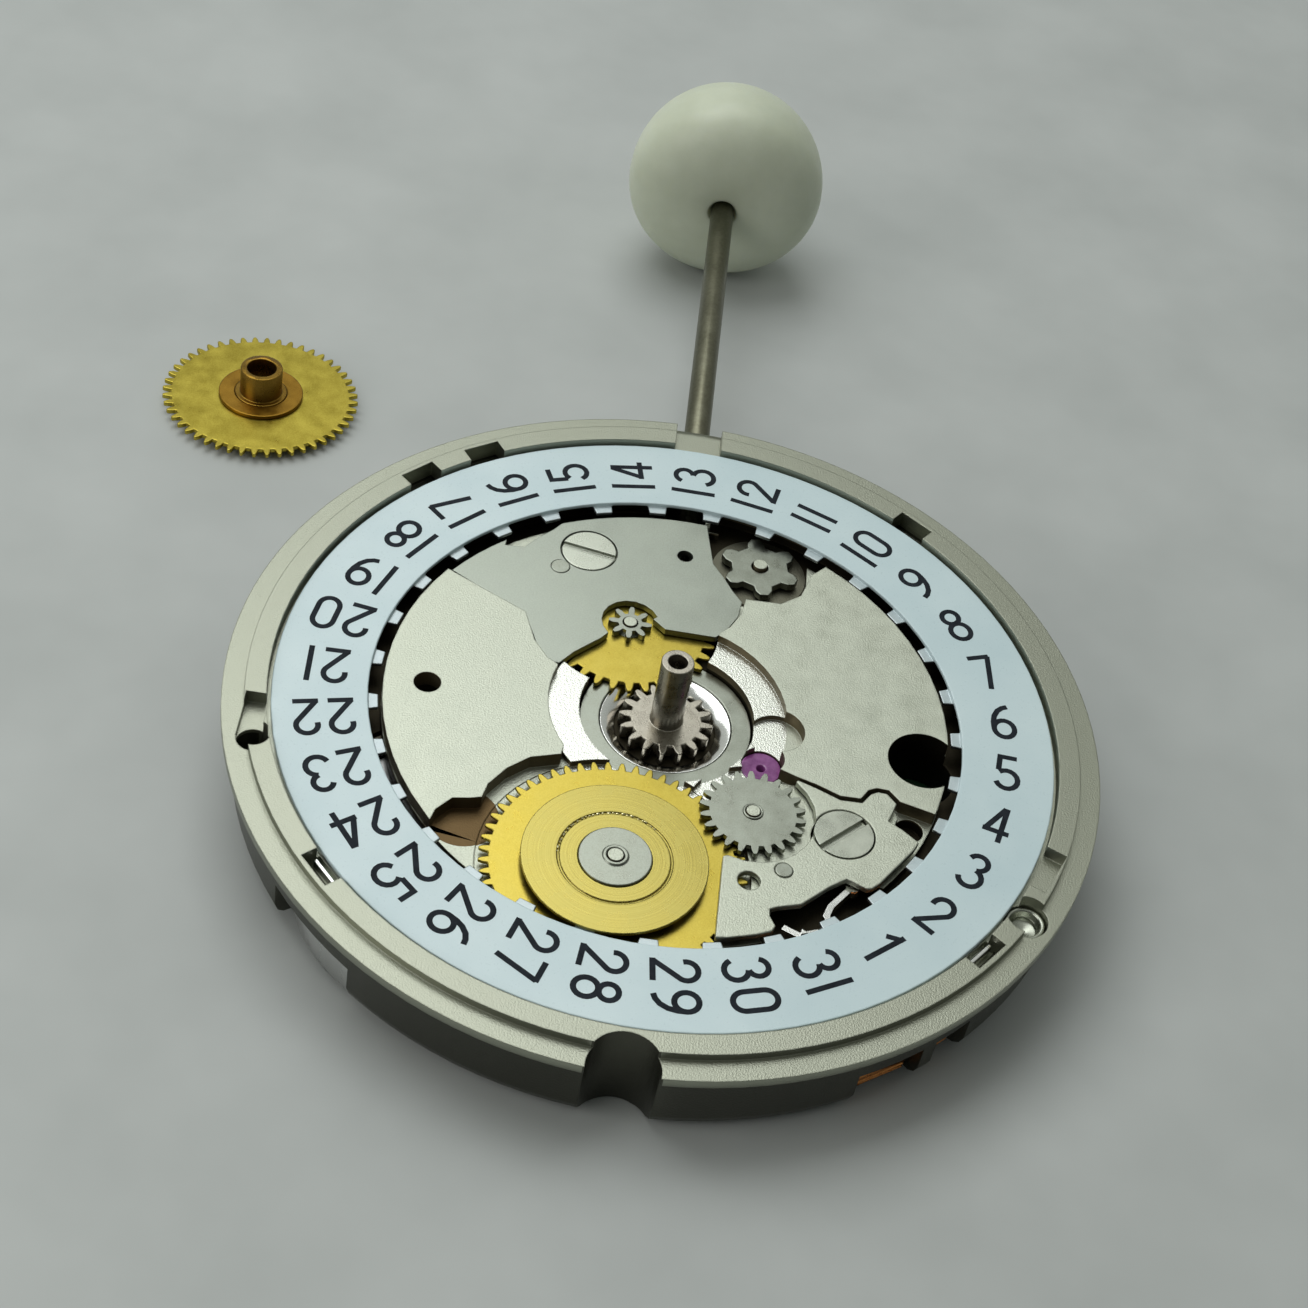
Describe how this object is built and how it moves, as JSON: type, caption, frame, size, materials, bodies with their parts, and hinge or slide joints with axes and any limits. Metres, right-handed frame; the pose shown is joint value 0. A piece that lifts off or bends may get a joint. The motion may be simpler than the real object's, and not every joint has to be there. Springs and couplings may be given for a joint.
{
  "type": "quartz watch movement",
  "caption": "Quartz watch movement with date ring, exposed date and setting wheels, pull-out stem with a plastic setting knob, and the hour wheel lifted off beside it.",
  "frame": {"origin": "movement axis at the underside plane (the side away from the dial)", "axes": "+X along the winding stem (3 o'clock), +Y towards 12 o'clock, +Z towards the dial side"},
  "size_m": [0.0458, 0.0314, 0.0073],
  "materials": {
    "frosted_nickel": "fine sandblasted nickel plating",
    "cover_steel": "fine-grained steel sheet",
    "date_white": "satin pale blue lacquer with printed black numerals",
    "steel": "turned and stamped steel",
    "bright_steel": "polished steel",
    "screw_steel": "polished screw heads",
    "gilt_brass": "circular-grained gilt brass",
    "hour_brass": "bare brass",
    "ruby": "polished synthetic ruby",
    "knob_plastic": "cream moulded plastic",
    "battery_steel": "nickel-plated battery can",
    "gasket": "black sealing ring",
    "contact_bronze": "gold-plated spring bronze",
    "insulator": "dark insulating film",
    "board": "glass-fibre circuit board with copper tracks",
    "chip": "black potting",
    "crystal_can": "tinned crystal can",
    "coil_copper": "enamelled copper wire",
    "soft_iron": "dull soft-iron sheet",
    "magnet": "sintered magnet"
  },
  "bodies": {
    "movement": {"main_plate": "frosted_nickel", "date_jumper_plate": "frosted_nickel", "date_jumper_plate_screw": "screw_steel", "jumper_plate_rivet": "steel", "keyless_cover": "cover_steel", "keyless_cover_screw": "screw_steel", "keyless_cover_rivet": "steel", "centre_collar": "steel", "collar_ring": "bright_steel", "train_jewel": "ruby", "dial_screw_west": "steel", "ring_guard_springs": "bright_steel", "negative_contact": "contact_bronze", "battery_insulator": "insulator", "circuit_board": "board", "circuit_chip": "chip", "quartz_crystal": "crystal_can", "coil_winding": "coil_copper", "coil_core": "soft_iron", "coil_end_blocks": "insulator", "stator": "soft_iron", "train_bridge": "frosted_nickel", "bridge_screws": "screw_steel", "circuit_cover": "cover_steel", "cover_screws": "screw_steel"},
    "battery": {"battery_can": "battery_steel", "battery_gasket": "gasket", "battery_cap": "battery_steel"},
    "date_ring": {"date_ring": "date_white"},
    "date_jumper": {"date_jumper": "steel"},
    "date_driver": {"date_driving_wheel": "gilt_brass", "date_disc": "gilt_brass", "date_hub": "steel"},
    "intermediate_date_wheel": {"intermediate_date_wheel": "steel", "intermediate_date_stud": "steel"},
    "minute_wheel": {"minute_wheel": "gilt_brass", "minute_pinion": "steel"},
    "cannon_pinion": {"cannon_pinion": "steel"},
    "corrector_wheel": {"corrector_wheel": "steel"},
    "stem_slider": {"stem_slider": "steel"},
    "stem": {"setting_stem": "steel", "setting_pinion": "steel", "setting_knob": "knob_plastic"},
    "setting_lever": {"setting_lever": "steel"},
    "hour_wheel": {"hour_wheel": "hour_brass", "hour_pipe": "hour_brass", "hour_date_pinion": "hour_brass"},
    "rotor": {"rotor_magnet": "magnet", "rotor_pinion": "steel"},
    "rotor_wheel": {"rotor_wheel": "gilt_brass", "rotor_wheel_pinion": "steel"},
    "seconds_wheel": {"seconds_wheel": "gilt_brass", "seconds_pinion": "steel"},
    "third_wheel": {"third_wheel": "gilt_brass", "third_pinion": "steel"},
    "centre_wheel": {"centre_wheel": "gilt_brass"}
  },
  "joints": [
    {"name": "date_ring_turn", "type": "hinge", "parent": "movement", "child": "date_ring", "pos_m": [0, 0, 0.002], "axis": [0, 0, 1], "continuous": true},
    {"name": "date_jumper_swing", "type": "hinge", "parent": "movement", "child": "date_jumper", "pos_m": [-0.00535, -0.0057, 0.002], "axis": [0, 0, 1], "range_deg": [-1.5, 1.5], "stiffness_Nm_per_rad": 0.000002},
    {"name": "date_driver_turn", "type": "hinge", "parent": "movement", "child": "date_driver", "pos_m": [-0.00595, 0.001, 0.002], "axis": [0, 0, 1], "continuous": true},
    {"name": "intermediate_date_turn", "type": "hinge", "parent": "movement", "child": "intermediate_date_wheel", "pos_m": [-0.00345, -0.00272, 0.002], "axis": [0, 0, 1], "continuous": true},
    {"name": "cannon_turn", "type": "hinge", "parent": "movement", "child": "cannon_pinion", "pos_m": [0, 0, 0.002], "axis": [0, 0, 1], "continuous": true},
    {"name": "minute_wheel_turn", "type": "hinge", "parent": "movement", "child": "minute_wheel", "pos_m": [0.0035, 0.00143, 0.002], "axis": [0, 0, 1], "continuous": true},
    {"name": "corrector_turn", "type": "hinge", "parent": "movement", "child": "corrector_wheel", "pos_m": [0.0071, -0.0024, 0.002], "axis": [0, 0, 1], "continuous": true},
    {"name": "stem_pull", "type": "slide", "parent": "movement", "child": "stem_slider", "axis": [1, 0, 0], "range_m": [0, 0.0012]},
    {"name": "stem_turn", "type": "hinge", "parent": "stem_slider", "child": "stem", "pos_m": [0.012, 0, 0.00145], "axis": [1, 0, 0], "continuous": true},
    {"name": "setting_lever_swing", "type": "hinge", "parent": "movement", "child": "setting_lever", "pos_m": [0.0105, 0.0034, 0.002], "axis": [0, 0, 1], "range_deg": [0, 29.3]},
    {"name": "hour_wheel_lift", "type": "slide", "parent": "movement", "child": "hour_wheel", "axis": [0.0555, 0, 0.9985], "range_m": [0, 0.008]},
    {"name": "battery_out", "type": "slide", "parent": "movement", "child": "battery", "axis": [0, 0, -1], "range_m": [0, 0.004]},
    {"name": "seconds_turn", "type": "hinge", "parent": "movement", "child": "seconds_wheel", "pos_m": [0, 0, 0.002], "axis": [0, 0, 1], "continuous": true},
    {"name": "rotor_turn", "type": "hinge", "parent": "movement", "child": "rotor", "pos_m": [-0.00374, -0.00402, 0.002], "axis": [0, 0, 1], "continuous": true},
    {"name": "rotor_wheel_turn", "type": "hinge", "parent": "movement", "child": "rotor_wheel", "pos_m": [-0.00135, -0.0029, 0.002], "axis": [0, 0, 1], "continuous": true},
    {"name": "third_wheel_turn", "type": "hinge", "parent": "movement", "child": "third_wheel", "pos_m": [0.00222, -0.00186, 0.002], "axis": [0, 0, 1], "continuous": true},
    {"name": "centre_wheel_turn", "type": "hinge", "parent": "movement", "child": "centre_wheel", "pos_m": [0, 0, 0.002], "axis": [0, 0, 1], "continuous": true}
  ],
  "couplings": [
    {"joint": "intermediate_date_turn", "follows": "date_driver_turn", "ratio": -4.3077},
    {"joint": "minute_wheel_turn", "follows": "cannon_turn", "ratio": -0.5},
    {"joint": "setting_lever_swing", "follows": "stem_pull", "rad_per_m": 424.7},
    {"joint": "rotor_wheel_turn", "follows": "seconds_turn", "ratio": -3},
    {"joint": "rotor_turn", "follows": "seconds_turn", "ratio": 30},
    {"joint": "third_wheel_turn", "follows": "seconds_turn", "ratio": -0.13333},
    {"joint": "centre_wheel_turn", "follows": "seconds_turn", "ratio": 0.016667}
  ]
}
